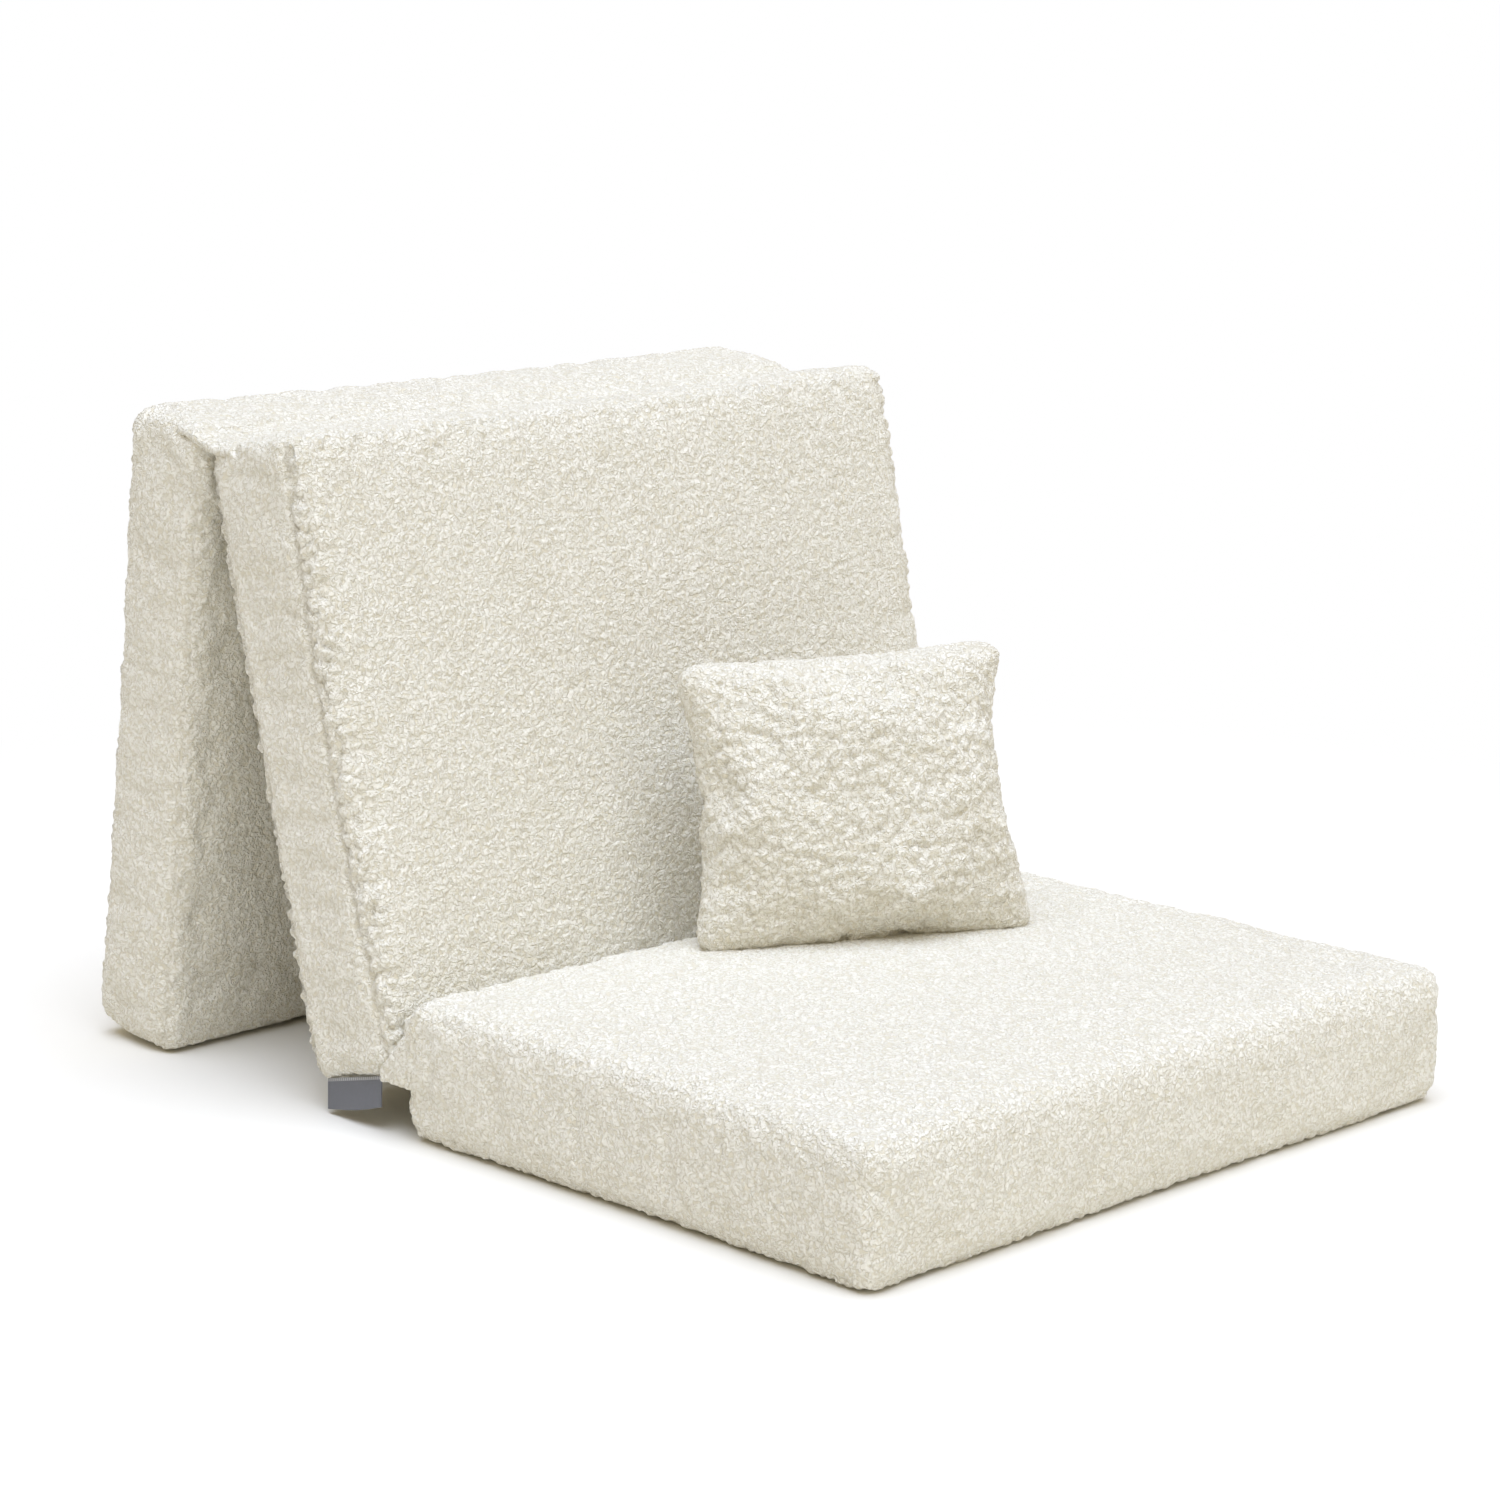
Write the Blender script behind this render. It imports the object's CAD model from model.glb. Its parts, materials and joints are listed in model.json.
import json
import math
import bpy
import numpy as np
from mathutils import Matrix, Vector


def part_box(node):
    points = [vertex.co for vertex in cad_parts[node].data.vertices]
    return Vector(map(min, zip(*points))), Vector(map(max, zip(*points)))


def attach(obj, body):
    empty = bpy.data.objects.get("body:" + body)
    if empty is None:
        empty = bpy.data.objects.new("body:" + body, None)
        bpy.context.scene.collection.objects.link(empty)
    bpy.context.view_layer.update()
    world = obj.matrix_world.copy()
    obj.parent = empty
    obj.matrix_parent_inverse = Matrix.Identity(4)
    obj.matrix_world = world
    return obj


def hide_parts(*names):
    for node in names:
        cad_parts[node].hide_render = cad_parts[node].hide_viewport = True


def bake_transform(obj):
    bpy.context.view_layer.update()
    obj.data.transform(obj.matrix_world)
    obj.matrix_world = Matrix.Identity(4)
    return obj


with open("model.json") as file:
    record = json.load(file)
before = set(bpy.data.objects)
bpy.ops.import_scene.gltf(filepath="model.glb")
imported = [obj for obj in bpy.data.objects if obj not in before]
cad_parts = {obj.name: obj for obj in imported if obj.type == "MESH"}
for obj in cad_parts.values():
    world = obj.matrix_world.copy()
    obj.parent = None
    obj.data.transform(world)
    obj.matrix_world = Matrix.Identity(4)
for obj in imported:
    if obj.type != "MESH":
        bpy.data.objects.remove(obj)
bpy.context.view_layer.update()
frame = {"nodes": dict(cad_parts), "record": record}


# Seat, back and rear cushions. Each is a slab of foam in a fitted cover of curly sherpa pile, cut as two
# faces and a band round the sides and sewn together along two seams. The pile stands up in small curls,
# and in larger ones where the seams squeeze it.

panel_names = ("seat", "back", "rear")
remesh_size = 0.0069
swell_limit = 0.0036
pile_depth = 0.0038
cover_on_core = 0.0053
above_floor = 0.0003

seam_from_face = 0.016
seam_sag = {"seat": 0, "back": 0.011, "rear": 0}
# How far the seams wander, how fast along the panel, and from where
seam_wander = ((0.0007, 173, 1), (0.0005, 389, 0), (0.0004, 71, 0))
seam_half_width = 0.0030
seam_line_half_width = 0.0017
# How squarely a place has to face the band or the side to count as part of it
facing = 0.7

uneven_height = 0.0008
seam_curl_height = 0.0068
fine_curl_height = 0.0020
curl_mid_level = 0.3
edge_curls_full = 0.008
edge_curls_fade = 0.012
corner_curls = 0.55
corner_curl_reach = 0.024

gather_reach = 0.070
gather_swell = 0.0030
gather_low = -0.0115
gather_low_slope = 0.0014
gather_high = 0.040
gather_high_slope = 0.02

side_draw = 0.002
corner_round = 0.013
zip_share = 0.72
zip_mouth = 0.0075
zip_mouth_slope = 0.0025
zip_end_room = 0.003
zip_end_slope = 0.004
zip_bed = 0.0052


def deselect_all():
    if bpy.context.object and bpy.context.object.mode != "OBJECT":
        bpy.ops.object.mode_set(mode="OBJECT")
    bpy.ops.object.select_all(action="DESELECT")


def pick(obj):
    deselect_all()
    obj.select_set(True)
    bpy.context.view_layer.objects.active = obj


def middle(node):
    low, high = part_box(node)
    return (low + high) / 2


def points_of(obj):
    co = np.empty(len(obj.data.vertices) * 3)
    obj.data.vertices.foreach_get("co", co)
    return co.reshape(-1, 3)


def normals_of(obj):
    normals = np.empty(len(obj.data.vertices) * 3, np.float32)
    obj.data.vertices.foreach_get("normal", normals)
    return normals.reshape(-1, 3).astype(float)


def move_points(obj, co):
    obj.data.vertices.foreach_set("co", co.astype(np.float32).ravel())
    obj.data.update()


def apply_modifiers(obj):
    pick(obj)
    for modifier in list(obj.modifiers):
        bpy.ops.object.modifier_apply(modifier=modifier.name)


def closed_copy(node, name):
    """A copy of a CAD solid with its loose triangles merged into one closed skin"""
    obj = bpy.data.objects.new(name, frame["nodes"][node].data.copy())
    bpy.context.scene.collection.objects.link(obj)
    obj.data.materials.clear()
    pick(obj)
    bpy.ops.object.mode_set(mode="EDIT")
    bpy.ops.mesh.select_all(action="SELECT")
    bpy.ops.mesh.remove_doubles(threshold=0.00002)
    bpy.ops.object.mode_set(mode="OBJECT")
    return obj


def remesh(obj, size):
    modifier = obj.modifiers.new("even mesh", "REMESH")
    modifier.mode = "VOXEL"
    modifier.voxel_size = size
    apply_modifiers(obj)


def subdivide(obj, levels):
    modifier = obj.modifiers.new("fine mesh", "SUBSURF")
    modifier.levels = modifier.render_levels = levels
    apply_modifiers(obj)


def ease(share):
    """Turns an even rise from 0 to 1 into a smooth one"""
    return share * share * (3 - 2 * share)


def weight(obj, name, values):
    group = obj.vertex_groups.new(name=name)
    steps = 50
    levels = np.round(np.clip(values, 0, 1) * steps).astype(int)
    for level in range(1, steps + 1):
        found = np.nonzero(levels == level)[0].tolist()
        if found:
            group.add(found, level / steps, "REPLACE")
    return group.name


def blow_up(obj, frames, pressure, **cover):
    """Blows a cover up like cloth from inside, with the given cloth settings"""
    cloth = obj.modifiers.new("cover cloth", "CLOTH")
    cloth.settings.mass = 0.25
    cloth.settings.shear_stiffness = 4
    cloth.settings.use_pressure = True
    cloth.settings.uniform_pressure_force = pressure
    cloth.settings.effector_weights.gravity = 0
    for setting, value in cover.items():
        setattr(cloth.settings, setting, value)
    cloth.collision_settings.use_collision = False
    cloth.point_cache.frame_start = 1
    cloth.point_cache.frame_end = frames
    for step in range(1, frames + 1):
        bpy.context.scene.frame_set(step)
    apply_modifiers(obj)
    bpy.context.scene.frame_set(1)


def puff(obj, held, limit):
    """Blows the cover up over its foam, with its seams held, and eases off at the given limit"""
    before = points_of(obj)
    blow_up(obj, 20, 4.0, quality=4, tension_stiffness=12, compression_stiffness=12,
            bending_stiffness=0.4, shrink_min=-0.03, vertex_group_mass=held)
    moved = points_of(obj) - before
    far = np.linalg.norm(moved, axis=1, keepdims=True)
    move_points(obj, before + moved * (limit * np.tanh(far / limit) / np.maximum(far, 1e-9)))


class PanelFrame:
    """A panel's own axes: x across, y along its zip and z through its thickness to the top cover"""

    def __init__(self, name):
        along = middle(f"{name}_zip_slider") - middle(f"{name}_zip")
        self.turn = Matrix.Rotation(math.atan2(along.z, along.y), 3, "X")
        self.centre = np.array(middle(f"{name}_side_band"))
        self.axes = np.array(self.turn)
        band = self.local(points_of(frame["nodes"][f"{name}_side_band"]))
        core = self.local(points_of(frame["nodes"][f"{name}_foam_core"]))
        self.half_width, self.half_length, self.half_band = np.abs(band).max(0)
        self.half_core = np.abs(core[:, 2]).max()

    def local(self, co):
        return (co - self.centre) @ self.axes

    def world(self, co):
        return co @ self.axes.T + self.centre

    def cut_zip_mouth(self, co):
        """Parts the pile over the zip in the right hand side, down to the foam"""
        half_zip = self.half_length * zip_share + zip_end_room
        lengthwise = np.clip((half_zip - np.abs(co[:, 1])) / zip_end_slope, 0, 1)
        crosswise = np.clip((zip_mouth + zip_mouth_slope - np.abs(co[:, 2])) / zip_mouth_slope, 0, 1)
        straight = 2 * (self.half_length - corner_round)
        bed = self.half_width - side_draw * np.cos(math.pi * co[:, 1] / straight) - zip_bed
        co[:, 0] -= np.maximum(co[:, 0] - bed, 0) * lengthwise * crosswise
        return co


def curl_texture(name, size):
    texture = bpy.data.textures.new(name, "VORONOI")
    texture.distance_metric = "DISTANCE_SQUARED"
    texture.noise_scale = size
    return texture


def cloud_texture(name, size, depth=2):
    texture = bpy.data.textures.new(name, "CLOUDS")
    texture.noise_scale = size
    texture.noise_depth = depth
    return texture


fine_curls = curl_texture("fine curls", 0.0042)
seam_curls = curl_texture("seam curls", 0.0074)
uneven_pile = cloud_texture("uneven pile", 0.016)
soft_ripples = cloud_texture("soft ripples", 0.045, 1)


def raise_pile(obj, texture, height, group="", level=0.5):
    modifier = obj.modifiers.new(texture.name, "DISPLACE")
    modifier.texture = texture
    modifier.texture_coords = "LOCAL"
    modifier.strength = height
    modifier.mid_level = level
    if group:
        modifier.vertex_group = group


# How the foam of each cushion has settled: how far its top and its under face stand out at the end by the
# top hinge or behind the sitter, and at the other end
settled = {
    "seat": ((0, 0), (0, 0)),
    "back": ((0, 0), (0.0055, 0.0035)),
    "rear": ((-0.009, -0.003), (0.002, 0)),
}
settled_from = 0.012
back_belly = 0.003
back_corner_rise = 0.003

# How deep the thread pulls in the seams of each cushion, how plainly they show between the curls, and how
# much the pile curls up along them
sewn = {"seat": (0.0005, 0.1, 0.55), "back": (0.0024, 0.8, 1.0), "rear": (0.0012, 0.4, 0.6)}


def gather_at_web(co, panel):
    """The seat's side band bulges in its upper part near the rear, where the ears of the web are sewn on"""
    from_rear = np.clip(1 - (panel.half_length - co[:, 1]) / gather_reach, 0, 1)
    above = 1 / (1 + np.exp((gather_low - co[:, 2]) / gather_low_slope))
    below = np.clip((gather_high - co[:, 2]) / gather_high_slope, 0, 1)
    creases = 1 + 0.35 * np.sin(co[:, 1] * 260 + co[:, 2] * 140)
    on_side = np.clip((np.abs(co[:, 0]) - panel.half_width + 0.008) / 0.005, 0, 1)
    co[:, 0] += np.sign(co[:, 0]) * gather_swell * from_rear * above * below * creases * on_side
    return co


def settle(co, panel, name):
    """Shapes the faces as the foam under them has settled"""
    far_end = 1 if name == "rear" else -1
    low = np.clip(0.5 + far_end * co[:, 1] / (2 * panel.half_length), 0, 1)
    for side, (at_hinge, at_foot) in zip((1, -1), settled[name]):
        depth = np.clip((side * co[:, 2] - settled_from) / (panel.half_core - settled_from), 0, 1)
        swell = at_hinge + (at_foot - at_hinge) * low
        if name == "back" and side < 0:
            swell = swell + back_belly * np.sin(math.pi * low)
        co[:, 2] += side * swell * ease(depth)
    if name == "back":
        # Its right hand top corner is a little fuller
        across, up = np.clip(co[:, :2].T / [[panel.half_width], [panel.half_length]], 0, 1)
        co[:, 1] += back_corner_rise * across * up ** 4
    return co


def seam_height(co, panel, name):
    """The seams run near the faces, wander a little, and the back's sags away from the sitter's face"""
    along = np.clip(co[:, 1] / panel.half_length, -1, 1)
    sag = seam_sag[name] * np.cos(0.5 * math.pi * along) * (co[:, 2] > 0)
    wander = sum(width * np.sin(co[:, 1] * pace + start) for width, pace, start in seam_wander)
    return panel.half_core + cover_on_core - seam_from_face - sag + wander


def pile_cushion(name):
    panel = PanelFrame(name)
    cushion = closed_copy(f"{name}_foam_core", f"{name}_cushion")
    remesh(cushion, remesh_size)
    co = panel.local(points_of(cushion))
    near_seam = np.abs(np.abs(co[:, 2]) - seam_height(co, panel, name)) < remesh_size * 0.6
    held = weight(cushion, "held", near_seam * 1.0)
    puff(cushion, held, swell_limit)
    cushion.vertex_groups.clear()
    subdivide(cushion, 2)
    co = panel.local(points_of(cushion))
    out = normals_of(cushion) @ panel.axes
    # The pile stands off the foam, and the seams stay pulled in
    past_seam = np.abs(co[:, 2]) - seam_height(co, panel, name)
    on_band = np.abs(out[:, 2]) < facing
    on_side = np.abs(out[:, 0]) > facing
    groove, shows, edge_curls = sewn[name]
    pinch = np.exp(-((past_seam / seam_half_width) ** 2)) * on_band * np.where(on_side, 1, 0.3)
    stitches = 0.75 + 0.25 * np.sin(co[:, 1] * 260)
    line = np.exp(-((past_seam / seam_line_half_width) ** 2)) * on_side * shows * stitches
    cushion.data.attributes.new("seam line", "FLOAT", "POINT").data.foreach_set("value", line)
    co += out * (pile_depth - groove * pinch)[:, None]
    if name == "seat":
        co = gather_at_web(co, panel)
    move_points(cushion, panel.world(co))
    beyond_seam = np.clip(past_seam / 0.002, 0, 1)
    inset = np.stack([panel.half_width - np.abs(co[:, 0]), panel.half_length - np.abs(co[:, 1])])
    at_edge = np.clip(1 - (inset.min(0) - edge_curls_full) / edge_curls_fade, 0, 1)
    corner = corner_curls * np.clip(1 - inset.max(0) / corner_curl_reach, 0, 1)
    near_edge = weight(cushion, "near seam", np.maximum(edge_curls * beyond_seam * at_edge, corner))
    raise_pile(cushion, uneven_pile, uneven_height)
    raise_pile(cushion, seam_curls, -seam_curl_height, near_edge, curl_mid_level)
    raise_pile(cushion, fine_curls, -fine_curl_height, level=curl_mid_level)
    apply_modifiers(cushion)
    co = panel.world(panel.cut_zip_mouth(settle(panel.local(points_of(cushion)), panel, name)))
    co[:, 2] = np.maximum(co[:, 2], above_floor)
    move_points(cushion, co)
    cushion.vertex_groups.clear()
    pick(cushion)
    bpy.ops.object.shade_smooth()
    cushion.data.materials.append(sherpa)
    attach(cushion, name)
    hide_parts(f"{name}_foam_core", f"{name}_top_cover",
                f"{name}_under_cover", f"{name}_side_band")


def new_material(name):
    material = bpy.data.materials.new(name)
    material.use_nodes = True
    shader = material.node_tree.nodes["Principled BSDF"]
    return material, material.node_tree, shader


def math_node(tree, operation, *values):
    node = tree.nodes.new("ShaderNodeMath")
    node.operation = operation
    for socket, value in zip(node.inputs, values):
        if isinstance(value, (int, float)):
            socket.default_value = value
        else:
            tree.links.new(value, socket)
    return node.outputs[0]


def mixed_color(tree, factor, first, second):
    mix = tree.nodes.new("ShaderNodeMix")
    mix.data_type = "RGBA"
    for socket, value in (("Factor", factor), ("A", first), ("B", second)):
        if isinstance(value, (tuple, float, int)):
            mix.inputs[socket].default_value = value
        else:
            tree.links.new(value, mix.inputs[socket])
    return mix.outputs["Result"]


def bumped(tree, shader, height, distance, strength=0.6):
    bump = tree.nodes.new("ShaderNodeBump")
    bump.inputs["Strength"].default_value = strength
    bump.inputs["Distance"].default_value = distance
    tree.links.new(height, bump.inputs["Height"])
    tree.links.new(bump.outputs["Normal"], shader.inputs["Normal"])


def new_group(name, inputs):
    """A node group that puts out a colour and a height over the surface"""
    group = bpy.data.node_groups.new(name, "ShaderNodeTree")
    for socket, kind in inputs.items():
        group.interface.new_socket(socket, in_out="INPUT", socket_type=f"NodeSocket{kind}")
    group.interface.new_socket("Color", in_out="OUTPUT", socket_type="NodeSocketColor")
    group.interface.new_socket("Height", in_out="OUTPUT", socket_type="NodeSocketFloat")
    return group, group.nodes.new("NodeGroupInput"), group.nodes.new("NodeGroupOutput")


def make_curl_group():
    """Domes of curled fibre with thin gaps between them, and wider gaps between clumps of curls"""
    group, given, result = new_group("Curly pile", {"Curl size": "Float", "Tip": "Color", "Root": "Color"})
    place = group.nodes.new("ShaderNodeTexCoord").outputs["Object"]

    def noise(scale, detail, distortion=0):
        made = group.nodes.new("ShaderNodeTexNoise")
        made.inputs["Scale"].default_value = scale
        made.inputs["Detail"].default_value = detail
        made.inputs["Distortion"].default_value = distortion
        group.links.new(place, made.inputs["Vector"])
        return made

    # The cells are pushed about, so that no two curls are alike
    shift = group.nodes.new("ShaderNodeVectorMath")
    shift.operation = "MULTIPLY_ADD"
    shift.inputs[1].default_value = (0.0050, 0.0050, 0.0050)
    group.links.new(noise(330, 1).outputs["Color"], shift.inputs[0])
    group.links.new(place, shift.inputs[2])

    def domes(times, rim, crown):
        cells = group.nodes.new("ShaderNodeTexVoronoi")
        group.links.new(shift.outputs[0], cells.inputs["Vector"])
        cells_per_metre = math_node(group, "DIVIDE", 1 / times, given.outputs["Curl size"])
        group.links.new(cells_per_metre, cells.inputs["Scale"])
        dome = group.nodes.new("ShaderNodeMapRange")
        dome.interpolation_type = "SMOOTHSTEP"
        dome.inputs["From Min"].default_value = rim
        dome.inputs["From Max"].default_value = crown
        group.links.new(cells.outputs["Distance"], dome.inputs["Value"])
        return dome.outputs[0]

    curls = domes(1, 0.84, 0.34)
    clumps = domes(2.7, 0.92, 0.5)
    fibre = noise(750, 3, 1.5).outputs["Fac"]
    patches = noise(30, 2).outputs["Fac"]
    raised = math_node(group, "MULTIPLY_ADD", fibre, 0.6, curls)
    height = math_node(group, "MULTIPLY_ADD", clumps, 0.5, raised)
    tone = math_node(group, "MULTIPLY", curls, math_node(group, "MULTIPLY_ADD", clumps, 0.5, 0.5))
    tone = math_node(group, "MULTIPLY_ADD", math_node(group, "SUBTRACT", patches, 0.5), 0.3, tone)
    color = mixed_color(group, tone, given.outputs["Root"], given.outputs["Tip"])
    group.links.new(color, result.inputs["Color"])
    group.links.new(height, result.inputs["Height"])
    return group


curly_pile = make_curl_group()
curl_size = 0.0023
pile_tip = (0.965, 0.94, 0.84, 1)
pile_root = (0.80, 0.75, 0.60, 1)
seam_thread = (0.50, 0.45, 0.33, 1)
curl_bump = 0.0012


def make_sherpa():
    material, tree, shader = new_material("cream_sherpa_pile")
    pile = tree.nodes.new("ShaderNodeGroup")
    pile.node_tree = curly_pile
    pile.inputs["Curl size"].default_value = curl_size
    pile.inputs["Tip"].default_value = pile_tip
    pile.inputs["Root"].default_value = pile_root
    seam = tree.nodes.new("ShaderNodeAttribute")
    seam.attribute_name = "seam line"
    in_seam = math_node(tree, "MULTIPLY", seam.outputs["Fac"], 0.65)
    color = mixed_color(tree, in_seam, pile.outputs["Color"], seam_thread)
    tree.links.new(color, shader.inputs["Base Color"])
    bumped(tree, shader, pile.outputs["Height"], curl_bump, 0.8)
    shader.inputs["Roughness"].default_value = 1
    shader.inputs["Specular IOR Level"].default_value = 0.1
    shader.inputs["Sheen Weight"].default_value = 0.25
    shader.inputs["Sheen Roughness"].default_value = 0.6
    return material


sherpa = make_sherpa()

for name in panel_names:
    pile_cushion(name)


# Zips in the right hand side bands: a nylon coil on two woven tapes of cream polyester, which are sewn
# under the band, and a small die cast slider at the closed end.

tooth_pitch = 0.0016
tooth_height = 0.0008
coil_half_width = 0.0026
coil_gap_half_width = 0.0003
tape_thread_pitch = 0.0008
tape_light = (0.84, 0.81, 0.73, 1)
tape_dark = (0.62, 0.59, 0.51, 1)
coil_light = (0.86, 0.83, 0.76, 1)
coil_dark = (0.42, 0.40, 0.35, 1)
coil_gap_color = (0.40, 0.38, 0.33, 1)
zinc_light = (0.70, 0.71, 0.72, 1)
zinc_dark = (0.46, 0.47, 0.49, 1)


def ribs(tree, along, pitch):
    """A smooth ridge from 0 to 1 at every pitch"""
    wave = math_node(tree, "SINE", math_node(tree, "MULTIPLY", along, 2 * math.pi / pitch))
    return math_node(tree, "MULTIPLY_ADD", wave, 0.5, 0.5)


def make_weave_group():
    """Plain woven ribbon: threads along and across, from a place in the ribbon's own plane"""
    inputs = {"Vector": "Vector", "Thread pitch": "Float", "Light": "Color", "Dark": "Color"}
    group, given, result = new_group("Woven ribbon", inputs)
    split = group.nodes.new("ShaderNodeSeparateXYZ")
    group.links.new(given.outputs["Vector"], split.inputs[0])
    turns = math_node(group, "DIVIDE", 2 * math.pi, given.outputs["Thread pitch"])
    threads = [math_node(group, "MULTIPLY", split.outputs[axis], turns) for axis in "YZ"]
    crossing = math_node(group, "MULTIPLY", *(math_node(group, "SINE", thread) for thread in threads))
    height = math_node(group, "MULTIPLY_ADD", crossing, 0.5, 0.5)
    wear = group.nodes.new("ShaderNodeTexNoise")
    wear.inputs["Scale"].default_value = 420
    wear.inputs["Detail"].default_value = 3
    group.links.new(given.outputs["Vector"], wear.inputs["Vector"])
    half_height = math_node(group, "MULTIPLY", height, 0.5)
    tone = math_node(group, "MULTIPLY_ADD", wear.outputs["Fac"], 0.5, half_height)
    color = mixed_color(group, tone, given.outputs["Dark"], given.outputs["Light"])
    group.links.new(color, result.inputs["Color"])
    group.links.new(height, result.inputs["Height"])
    return group


woven_ribbon = make_weave_group()


def panel_place(tree, panel):
    """Places on a panel in its own axes, so that a weave runs along it"""
    place = tree.nodes.new("ShaderNodeTexCoord")
    own = tree.nodes.new("ShaderNodeMapping")
    own.vector_type = "TEXTURE"
    own.inputs["Location"].default_value = panel.centre
    own.inputs["Rotation"].default_value = panel.turn.to_euler()
    tree.links.new(place.outputs["Object"], own.inputs["Vector"])
    return own.outputs[0]


def add_weave(tree, vector, pitch, light, dark):
    weave = tree.nodes.new("ShaderNodeGroup")
    weave.node_tree = woven_ribbon
    weave.inputs["Thread pitch"].default_value = pitch
    weave.inputs["Light"].default_value = light
    weave.inputs["Dark"].default_value = dark
    tree.links.new(vector, weave.inputs["Vector"])
    return weave


def make_zip_material(name, panel):
    material, tree, shader = new_material(f"{name}_zip_nylon")
    place = panel_place(tree, panel)
    weave = add_weave(tree, place, tape_thread_pitch, tape_light, tape_dark)
    split = tree.nodes.new("ShaderNodeSeparateXYZ")
    tree.links.new(place, split.inputs[0])
    across = math_node(tree, "ABSOLUTE", split.outputs["Z"])
    on_coil = math_node(tree, "LESS_THAN", across, coil_half_width)
    # The teeth of one side stand in the gaps of the other
    slanted = math_node(tree, "MULTIPLY_ADD", across, 0.35, split.outputs["Y"])
    teeth = ribs(tree, slanted, tooth_pitch)
    meeting = math_node(tree, "LESS_THAN", across, coil_gap_half_width)
    coil = mixed_color(tree, teeth, coil_dark, coil_light)
    coil = mixed_color(tree, meeting, coil, coil_gap_color)
    tree.links.new(mixed_color(tree, on_coil, weave.outputs["Color"], coil), shader.inputs["Base Color"])
    low = math_node(tree, "MULTIPLY", weave.outputs["Height"], 0.3)
    raised = math_node(tree, "MULTIPLY", teeth, on_coil)
    bumped(tree, shader, math_node(tree, "MAXIMUM", low, raised), tooth_height)
    tree.links.new(math_node(tree, "MULTIPLY_ADD", on_coil, -0.4, 0.85), shader.inputs["Roughness"])
    return material


def make_slider_material():
    material, tree, shader = new_material("die_cast_zinc")
    place = tree.nodes.new("ShaderNodeTexCoord")
    grain = tree.nodes.new("ShaderNodeTexNoise")
    grain.inputs["Scale"].default_value = 900
    grain.inputs["Detail"].default_value = 4
    tree.links.new(place.outputs["Object"], grain.inputs["Vector"])
    color = mixed_color(tree, grain.outputs["Fac"], zinc_dark, zinc_light)
    tree.links.new(color, shader.inputs["Base Color"])
    dullness = math_node(tree, "MULTIPLY_ADD", grain.outputs["Fac"], 0.3, 0.22)
    tree.links.new(dullness, shader.inputs["Roughness"])
    bumped(tree, shader, grain.outputs["Fac"], 0.0001, 0.4)
    shader.inputs["Metallic"].default_value = 1
    return material


def dress(node, material):
    mesh = frame["nodes"][node].data
    mesh.materials.clear()
    mesh.materials.append(material)


slider_metal = make_slider_material()
for name in panel_names:
    dress(f"{name}_zip", make_zip_material(name, PanelFrame(name)))
    dress(f"{name}_zip_slider", slider_metal)


# Seat web: a strip of the same pile fabric, sewn into the seat's rear seam and under the back's foot. At
# both ends it is gathered into a stuffed ear, which closes the gap between the two cushions.

web_pile = 0.0012
web_unevenness = 0.0016
web_curl_height = 0.0022
web_softening = 5
seat_web_voxel = 0.0013
ear_width = 0.016
# Seen from the side of the sofa, as (y, z)
ear_middle = (0.040, 0.055)
ear_outline = ((0.024, 0.0955), (0.034, 0.0765), (0.054, 0.0535), (0.061, 0.0455),
               (0.061, 0.0385), (0.048, 0.0385), (0.030, 0.0385))


def add_ear(side):
    """A wedge with the ear's outline, flush with the seat's side"""
    middle_x = side * (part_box("seat_side_band")[1].x - ear_width / 2)
    deselect_all()
    bpy.ops.mesh.primitive_cylinder_add(vertices=len(ear_outline), radius=1, depth=ear_width,
                                        rotation=(0, math.pi / 2, 0), location=(middle_x, 0, 0))
    ear = bpy.context.object
    bpy.ops.object.transform_apply(location=True, rotation=True, scale=True)
    co = points_of(ear)
    order = np.argsort(np.arctan2(co[:, 2], co[:, 1]), kind="stable")
    outline = np.array(ear_outline)
    about = outline - np.array(ear_middle)
    rows = outline[np.argsort(np.arctan2(about[:, 1], about[:, 0]))]
    co[order, 1:] = np.repeat(rows, 2, axis=0)
    move_points(ear, co)
    return ear


def soften(obj, times):
    modifier = obj.modifiers.new("soft edges", "SMOOTH")
    modifier.factor = 0.5
    modifier.iterations = times
    apply_modifiers(obj)


def pile_web(web, voxel):
    remesh(web, voxel)
    soften(web, web_softening)
    move_points(web, points_of(web) + normals_of(web) * web_pile)
    raise_pile(web, uneven_pile, web_unevenness)
    raise_pile(web, fine_curls, -web_curl_height, level=curl_mid_level)
    apply_modifiers(web)
    pick(web)
    bpy.ops.object.shade_smooth()
    web.data.materials.append(sherpa)


def make_seat_web():
    ears = [add_ear(-1), add_ear(1)]
    web = closed_copy("seat_hinge_strip", "seat_hinge_web")
    pick(web)
    for ear in ears:
        ear.select_set(True)
    bpy.ops.object.join()
    pile_web(web, seat_web_voxel)
    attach(web, "seat_strip")
    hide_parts("seat_hinge_strip")


make_seat_web()


# Top web: the same pile fabric, laid over the cleft between the back's top and the rear cushion's top and
# sewn to both. It folds when the rear cushion swings out.

web_thickness = 0.0045
web_end_gap = 0.004
web_end_round = 0.012
web_reach = 0.026
web_dip = 0.0015
# Its edges are tucked in below the pile on both tops
web_tuck = np.array([0, 0.005, 0.0035])
web_skin = web_thickness / 2 + web_pile + 0.0004
top_web_voxel = 0.0015


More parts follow.
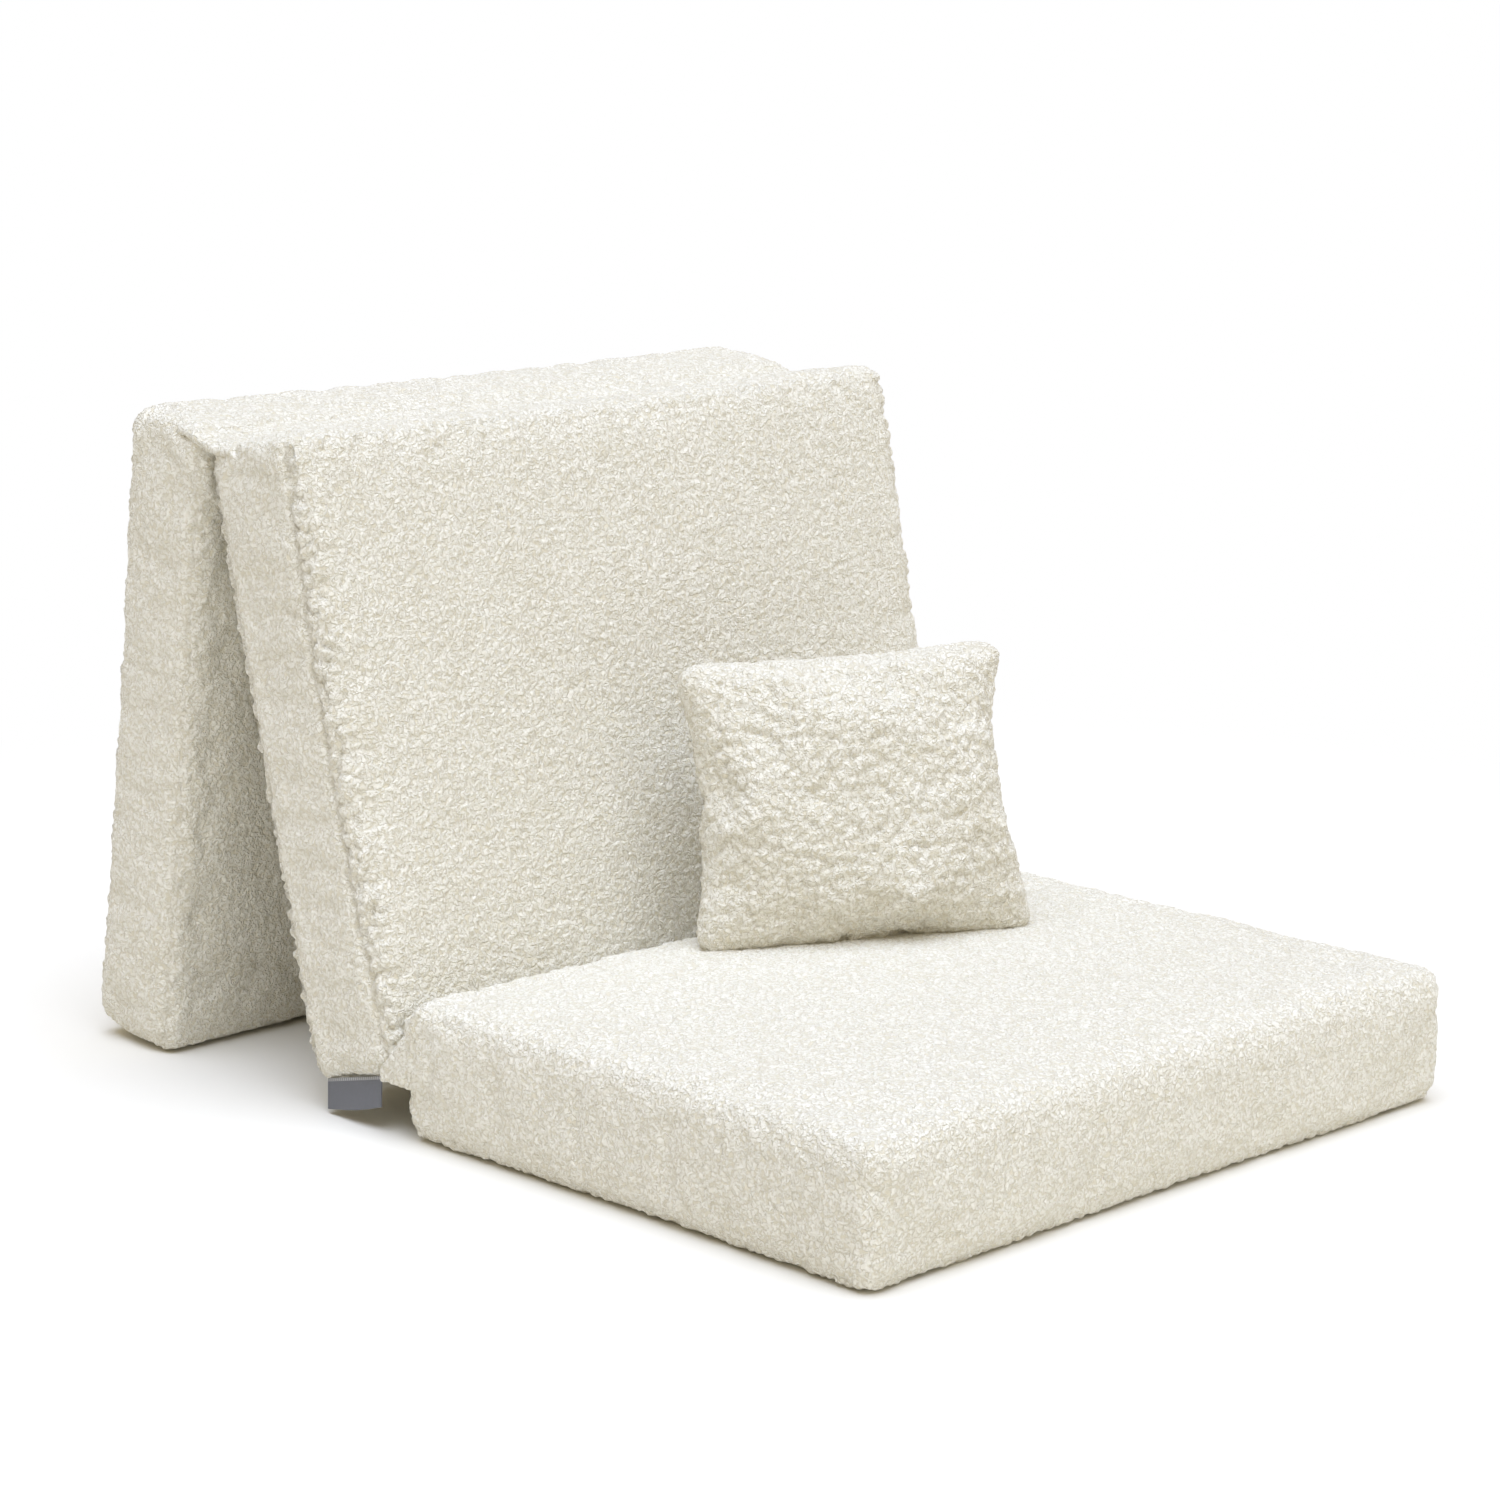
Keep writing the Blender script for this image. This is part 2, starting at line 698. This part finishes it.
def leave_top(name, end):
    """Two places on a cushion's end face: where the web is sewn on, and where it leaves the face"""
    panel = PanelFrame(name)
    inner_face = -(panel.half_band + seam_from_face)
    depth = inner_face + web_reach
    co = panel.local(points_of(bpy.data.objects[f"{name}_cushion"]))
    there = (np.abs(co[:, 0]) < 0.8 * panel.half_width) & (np.abs(co[:, 2] - depth) < 0.002)
    there &= end * co[:, 1] > panel.half_length - 0.012
    height = np.median(co[there, 1])
    return [panel.world(np.array([0, height, place])) for place in (depth, inner_face + 0.45 * web_reach)]


def web_route():
    """A curve that leaves each top along its own slope, and dips a little over the cleft"""
    (first, second), (last, third) = leave_top("back", 1), leave_top("rear", -1)
    t = np.linspace(0, 1, 21)[:, None]
    ends = (1 - t) ** 3 * first + t ** 3 * last
    curve = ends + 3 * t * (1 - t) ** 2 * second + 3 * t * t * (1 - t) * third
    curve[:, 2] -= web_dip * np.sin(math.pi * t[:, 0]) ** 2
    return np.vstack([first - web_tuck, curve, last + web_tuck * (1, 1, -1)]) - (0, 0, web_skin)


def make_top_web():
    route = web_route()
    half_width = PanelFrame("back").half_width
    deselect_all()
    bpy.ops.mesh.primitive_grid_add(x_subdivisions=150, y_subdivisions=24, size=2)
    web = bpy.context.object
    web.name = "top_hinge_web"
    co = points_of(web)
    share = (co[:, 1] + 1) / 2 * (len(route) - 1)
    y = np.interp(share, range(len(route)), route[:, 1])
    z = np.interp(share, range(len(route)), route[:, 2])
    x = co[:, 0] * (half_width - web_end_gap)
    # Its ends turn down with the rounded edges of the cushions
    short = np.maximum(web_end_round - (half_width - np.abs(x)), 0)
    z -= web_end_round - np.sqrt(web_end_round ** 2 - short ** 2)
    move_points(web, np.stack([x, y, z], 1))
    thick = web.modifiers.new("thickness", "SOLIDIFY")
    thick.thickness = web_thickness
    thick.offset = 0
    apply_modifiers(web)
    pick(web)
    bpy.ops.object.mode_set(mode="EDIT")
    bpy.ops.mesh.select_all(action="SELECT")
    bpy.ops.mesh.normals_make_consistent(inside=False)
    bpy.ops.object.mode_set(mode="OBJECT")
    pile_web(web, top_web_voxel)
    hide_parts("top_hinge_strip")
    hinge = next(joint for joint in frame["record"]["behaviour"]["joints"] if joint["name"] == "rear_fold")
    _, y, z = hinge["pos_m"]
    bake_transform(web)


make_top_web()


# Side tag: a plain grey woven ribbon, folded once and sewn into the foot of the back's side band with light
# thread. It carries no lettering.

tag_offset = (0, 0.0025, -0.009)
tag_thickness = 0.0013
tag_edge_round = 0.0004
tag_slant = 0.0052
tag_wave = 0.0008
tag_skew = 0.0012
tag_thread_pitch = 0.0007
tag_light = (0.185, 0.19, 0.21, 1)
tag_dark = (0.12, 0.125, 0.14, 1)
stitch_color = (0.55, 0.55, 0.54, 1)
stitch_pitch = 0.0022
stitched_edge = 0.0022


def make_tag_material(panel, sewn_edge):
    material, tree, shader = new_material("grey_woven_tag")
    place = panel_place(tree, panel)
    weave = add_weave(tree, place, tag_thread_pitch, tag_light, tag_dark)
    split = tree.nodes.new("ShaderNodeSeparateXYZ")
    tree.links.new(place, split.inputs[0])
    at_edge = math_node(tree, "GREATER_THAN", split.outputs["Y"], sewn_edge)
    stitches = math_node(tree, "MULTIPLY", at_edge, ribs(tree, split.outputs["Z"], stitch_pitch))
    color = mixed_color(tree, stitches, weave.outputs["Color"], stitch_color)
    tree.links.new(color, shader.inputs["Base Color"])
    bumped(tree, shader, weave.outputs["Height"], 0.0003)
    shader.inputs["Roughness"].default_value = 0.85
    shader.inputs["Sheen Weight"].default_value = 0.15
    return material


def make_side_tag():
    panel = PanelFrame("back")
    box = panel.local(points_of(frame["nodes"]["side_tag"])) + tag_offset
    low, high = box.min(0), box.max(0)
    centre = (low + high) / 2
    deselect_all()
    bpy.ops.mesh.primitive_cube_add(size=1, location=panel.world(centre), rotation=panel.turn.to_euler(),
                                    scale=(tag_thickness, high[1] - low[1], high[2] - low[2]))
    tag = bpy.context.object
    tag.name = "woven_side_tag"
    bpy.ops.object.transform_apply(location=True, rotation=True, scale=True)
    bpy.ops.object.mode_set(mode="EDIT")
    bpy.ops.mesh.bevel(offset=tag_edge_round, segments=2)
    bpy.ops.mesh.subdivide(number_cuts=12)
    bpy.ops.object.mode_set(mode="OBJECT")
    subdivide(tag, 1)
    co = panel.local(points_of(tag))
    along = (co[:, 2] - centre[2]) / (high[2] - low[2])
    hang = (high[1] - co[:, 1]) / (high[1] - low[1])
    # Below the seam it slants out until it is flush with the cushion's side
    co[:, 0] -= hang * (tag_slant + tag_wave * np.sin(along * 5.0 + 0.6))
    co[:, 1] -= hang * tag_skew * np.cos(along * 3.4)
    move_points(tag, panel.world(co))
    bpy.ops.object.shade_smooth()
    tag.data.materials.append(make_tag_material(panel, high[1] - stitched_edge))
    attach(tag, "back")
    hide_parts("side_tag")


make_side_tag()


# Pillow: two pieces of the same pile, sewn round the edge with no band and turned, over a loose fibre
# filling. Its sides draw in between the corners, and its foot sinks into the seat's pile.

pillow_size = (0.252, 0.208, 0.100)
pillow_turn = math.radians(-27)
pillow_lean = math.radians(14)
pillow_skew = 0.003
pillow_spread = 0.018
envelope_share = 1.07
envelope_gap = 0.006
envelope_softening = 4
# How far the left, right, lower and upper side draw in, and where along the side it is deepest
side_draws = (((0.012, 0), (0.014, 0.35)), ((0.001, 0), (0.001, 0)))
ear_power = 14
stretched_ear = 0.007
# The pile stands out past the seam and makes its edge round
edge_pile = 0.0042
outline_stops = 33
soft_ripple_height = 0.003
pillow_unevenness = 0.0022
pillow_curl_height = 0.0046
# How far it sinks, how deep in the seat's pile it comes to rest, and how much of its foot flattens there
sink = 0.002
pressed_in = 0.015
pressed_height = 0.012
foot_height = 0.02
seat_patch = 0.03


def blow_up_envelope():
    """Fills two flat sheets, sewn together round their edge, until they are as full as the pillow"""
    deselect_all()
    bpy.ops.mesh.primitive_grid_add(x_subdivisions=50, y_subdivisions=42, size=1)
    envelope = bpy.context.object
    envelope.name = "loose_pillow"
    bpy.ops.transform.resize(value=(envelope_share * pillow_size[0], envelope_share * pillow_size[1], 1))
    bpy.ops.object.transform_apply(location=True, rotation=True, scale=True)
    both = envelope.modifiers.new("two sheets", "SOLIDIFY")
    both.thickness = envelope_gap
    both.offset = 0
    apply_modifiers(envelope)
    blow_up(envelope, 30, 4.5, quality=6, tension_stiffness=15, compression_stiffness=3,
            bending_stiffness=0.6, air_damping=4)
    soften(envelope, envelope_softening)
    return envelope


def even_sides(co):
    """Lays the seam flat, eases how far the sides draw in between the corners, and rounds the corners"""
    half = np.array(pillow_size[:2]) / 2 - edge_pile
    stops = np.linspace(-1, 1, outline_stops)
    for out, along in ((0, 1), (1, 0)):
        share = np.clip(co[:, along] / half[along], -1, 1)
        nearest = np.argmin(np.abs(share[:, None] - stops), axis=1)
        for side, (draw, deepest) in zip((-1, 1), side_draws[out]):
            here = side * co[:, out] > 0
            reached = [np.abs(co[here & (nearest == stop), out]).max() for stop in range(outline_stops)]
            reached = np.interp(share, stops, reached)
            outward = side * co[:, out] / reached
            at_seam = outward > 0.93
            waves = [co[at_seam & (nearest == stop), 2].mean() for stop in range(outline_stops)]
            co[:, 2] -= np.interp(share, stops, waves) * ease(np.clip((outward - 0.5) / 0.45, 0, 1))
            to_corner = np.where(share > deepest, (share - deepest) / (1 - deepest),
                                 (deepest - share) / (1 + deepest))
            scale = (half[out] - draw * (1 - to_corner ** 2)) / reached
            co[here, out] *= scale[here]
    corner = (np.abs(co[:, :2] / half) ** ear_power).sum(1) ** (1 / ear_power)
    co[:, :2] /= np.maximum(corner, 1)[:, None]
    across, up = (co[:, :2] / half).T
    co[:, 1] += stretched_ear * np.clip(across, 0, 1) * np.clip(up, 0, 1)
    up = co[:, 1] / half[1]
    co[:, 0] = co[:, 0] * (1 - pillow_spread * up) - pillow_skew * up
    return co


def pile_pillow():
    pillow = blow_up_envelope()
    co = points_of(pillow)
    low, high = co.min(0), co.max(0)
    co = (co - (low + high) / 2) * (np.array(pillow_size) / (high - low))
    move_points(pillow, even_sides(co))
    subdivide(pillow, 2)
    co = points_of(pillow)
    reach = np.abs(co[:, :2] / (np.array(pillow_size[:2]) / 2)).max(1)
    stand_out = edge_pile * ease(np.clip((reach - 0.72) / 0.2, 0, 1))
    move_points(pillow, co + normals_of(pillow) * stand_out[:, None])
    in_middle = weight(pillow, "middle", 1 - np.clip((reach - 0.80) / 0.2, 0, 1))
    raise_pile(pillow, soft_ripples, soft_ripple_height, in_middle)
    raise_pile(pillow, uneven_pile, pillow_unevenness, in_middle)
    raise_pile(pillow, seam_curls, -pillow_curl_height, in_middle, curl_mid_level)
    raise_pile(pillow, fine_curls, -fine_curl_height, level=curl_mid_level)
    apply_modifiers(pillow)
    pillow.vertex_groups.clear()
    tipped = Matrix.Rotation(math.pi / 2 - pillow_lean, 3, "X")
    axes = np.array(Matrix.Rotation(pillow_turn, 3, "Z") @ tipped)
    own = points_of(frame["nodes"]["pillow_filling"]) @ axes
    centre = (own.min(0) + own.max(0)) / 2
    co = (points_of(pillow) + centre) @ axes.T
    # It sinks into the seat's pile and flattens on it
    seat = points_of(bpy.data.objects["seat_cushion"])
    foot = co[co[:, 2] < co[:, 2].min() + foot_height, :2]
    under = np.all(np.abs(seat[:, :2] - foot.mean(0)) < seat_patch, axis=1)
    on_top = seat[:, 2] > middle("seat_top_cover").z
    rest = np.median(seat[under & on_top, 2]) - pressed_in
    above = (co[:, 2] - sink - rest) / pressed_height
    co[:, 2] = rest + pressed_height * np.where(above > 1, above, np.exp(np.minimum(above - 1, 0)))
    move_points(pillow, co)
    pick(pillow)
    bpy.ops.object.shade_smooth()
    pillow.data.materials.append(sherpa)
    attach(pillow, "pillow")
    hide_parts("pillow_filling", "pillow_front_cover", "pillow_back_cover")


pile_pillow()


# Studio, for the picture only: a pale floor that turns plain white further out, warm light from all round,
# cool light from overhead, a little light from the front, and the camera at the photo's viewing angle.

shown_white = 1.0
floor_color = (0.875, 0.855, 0.79, 1)
floor_fades = (0.75, 1.3)
round_light = (1, 0.84, 0.56, 1)
round_strength = 0.39
softbox_angle = 60
camera_place = (-1.9602, -1.9327, 0.8364)
camera_heading, camera_pitch, camera_roll = (math.radians(angle) for angle in (44.66, -12.33, 0.64))
camera_lens = 94.69


def mix_shaders(tree, factor, first, second, output):
    mix = tree.nodes.new("ShaderNodeMixShader")
    tree.links.new(factor, mix.inputs[0])
    tree.links.new(first.outputs[0], mix.inputs[1])
    tree.links.new(second.outputs[0], mix.inputs[2])
    tree.links.new(mix.outputs[0], output.inputs["Surface"])


def make_floor():
    bpy.ops.mesh.primitive_plane_add(size=12, location=(0, 0, 0))
    floor = bpy.context.object
    floor.name = "studio_floor"
    material, tree, shader = new_material("pale_floor")
    shader.inputs["Base Color"].default_value = floor_color
    shader.inputs["Roughness"].default_value = 1
    shader.inputs["Specular IOR Level"].default_value = 0
    place = tree.nodes.new("ShaderNodeTexCoord")
    distance = tree.nodes.new("ShaderNodeVectorMath")
    distance.operation = "LENGTH"
    tree.links.new(place.outputs["Object"], distance.inputs[0])
    far = tree.nodes.new("ShaderNodeMapRange")
    far.interpolation_type = "SMOOTHSTEP"
    far.inputs["From Min"].default_value, far.inputs["From Max"].default_value = floor_fades
    tree.links.new(distance.outputs["Value"], far.inputs["Value"])
    ray = tree.nodes.new("ShaderNodeLightPath")
    seen = math_node(tree, "MULTIPLY", far.outputs[0], ray.outputs["Is Camera Ray"])
    plain = tree.nodes.new("ShaderNodeEmission")
    plain.inputs["Strength"].default_value = shown_white
    mix_shaders(tree, seen, shader, plain, tree.nodes["Material Output"])
    floor.data.materials.append(material)


def make_world():
    world = bpy.data.worlds.new("studio")
    bpy.context.scene.world = world
    world.use_nodes = True
    tree = world.node_tree
    light = tree.nodes["Background"]
    light.inputs["Color"].default_value = round_light
    light.inputs["Strength"].default_value = round_strength
    shown = tree.nodes.new("ShaderNodeBackground")
    shown.inputs["Color"].default_value = (1, 1, 1, 1)
    shown.inputs["Strength"].default_value = shown_white
    ray = tree.nodes.new("ShaderNodeLightPath")
    mix_shaders(tree, ray.outputs["Is Camera Ray"], light, shown, tree.nodes["World Output"])


def add_softbox(name, strength, towards, color):
    data = bpy.data.lights.new(name, "SUN")
    data.energy = strength
    data.color = color
    data.angle = math.radians(softbox_angle)
    lamp = bpy.data.objects.new(name, data)
    bpy.context.scene.collection.objects.link(lamp)
    lamp.rotation_euler = Vector(towards).to_track_quat("-Z", "Y").to_euler()


make_floor()
make_world()
add_softbox("overhead_softbox", 3.54, (0.12, 0.17, -1), (0.715, 0.797, 1.0))
add_softbox("front_softbox", 0.36, (0.22, 0.80, -0.5), (1.0, 0.985, 0.93))


def make_camera():
    data = bpy.data.cameras.new("view")
    data.sensor_width = 36
    data.sensor_fit = "HORIZONTAL"
    data.lens = camera_lens
    camera = bpy.data.objects.new("view", data)
    bpy.context.scene.collection.objects.link(camera)
    headed = Matrix.Rotation(camera_heading - math.pi / 2, 4, "Z")
    pitched = headed @ Matrix.Rotation(math.pi / 2 + camera_pitch, 4, "X")
    turned = pitched @ Matrix.Rotation(camera_roll, 4, "Z")
    camera.matrix_world = Matrix.Translation(camera_place) @ turned
    bpy.context.scene.camera = camera


make_camera()
bpy.context.scene.view_settings.view_transform = "Standard"
